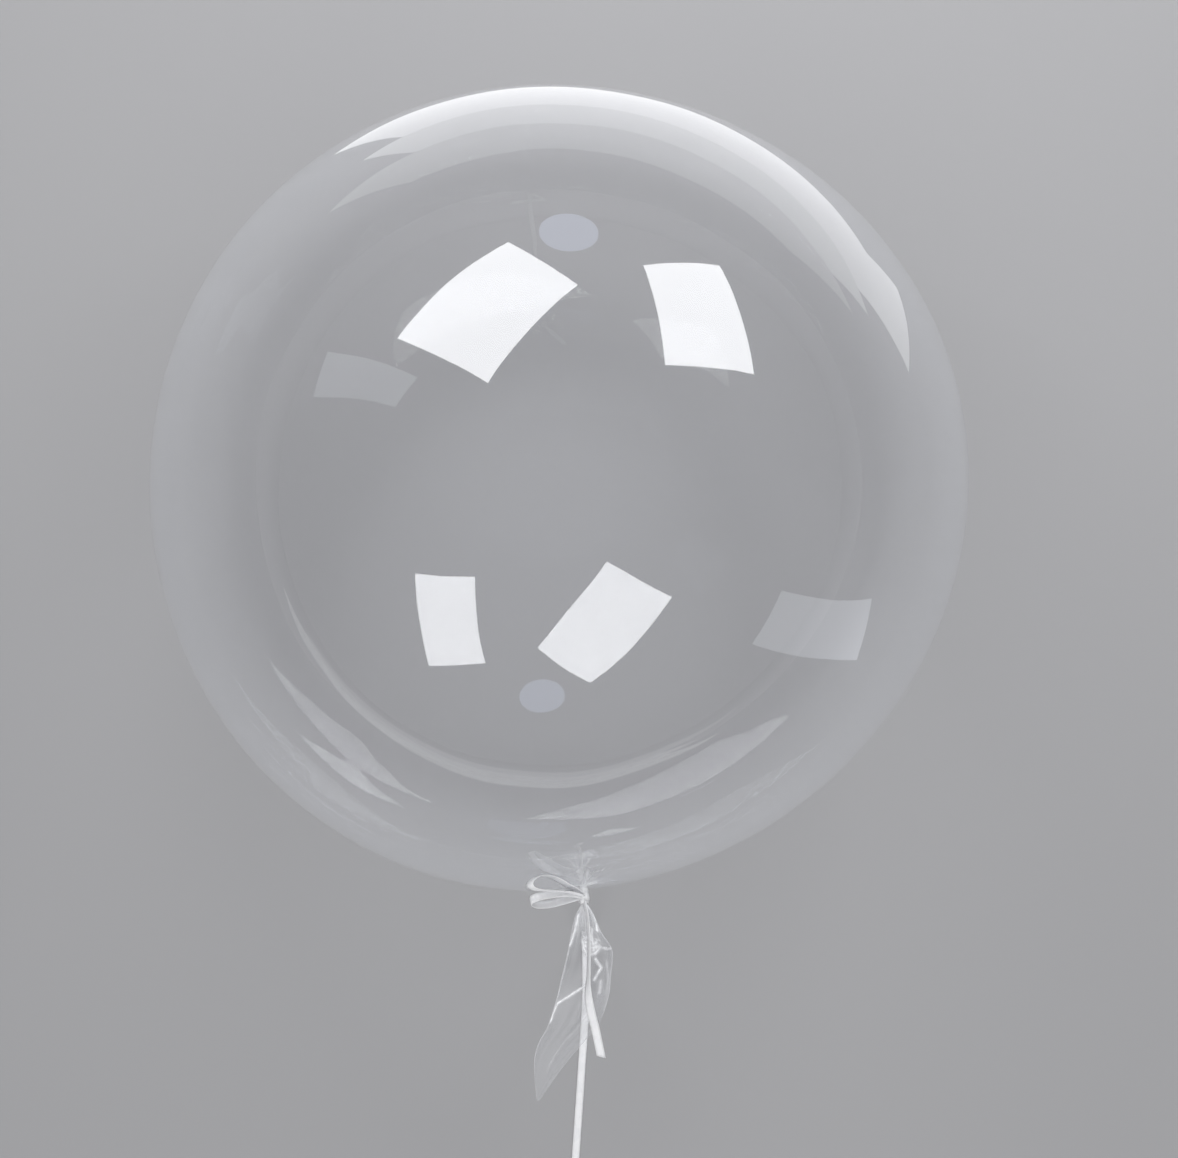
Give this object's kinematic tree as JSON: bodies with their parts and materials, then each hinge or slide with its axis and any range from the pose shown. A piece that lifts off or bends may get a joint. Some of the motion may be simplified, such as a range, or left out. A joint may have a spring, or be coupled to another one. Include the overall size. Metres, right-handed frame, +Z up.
{
  "type": "clear bubble balloon",
  "caption": "Clear film bubble balloon, blown up round, with a gathered neck, loose film tail and white curling ribbon tied in a bow.",
  "frame": {"origin": "centre of the small flat spot that the ball lies on, at floor level, straight below the middle of the ball", "axes": "+Z up from the floor. The neck, its tie and the ribbon are on the -Y side, with the neck tilted a little up. +X is to the right as seen from above with the neck towards the viewer."},
  "size_m": [0.4894, 0.7654, 0.4831],
  "materials": {
    "clear_film": "glossy",
    "white_ribbon": "satin"
  },
  "bodies": {
    "root": {"balloon_film": "clear_film", "ribbon_tie": "white_ribbon", "ribbon_run": "white_ribbon", "ribbon_coil": "white_ribbon"}
  },
  "joints": []
}
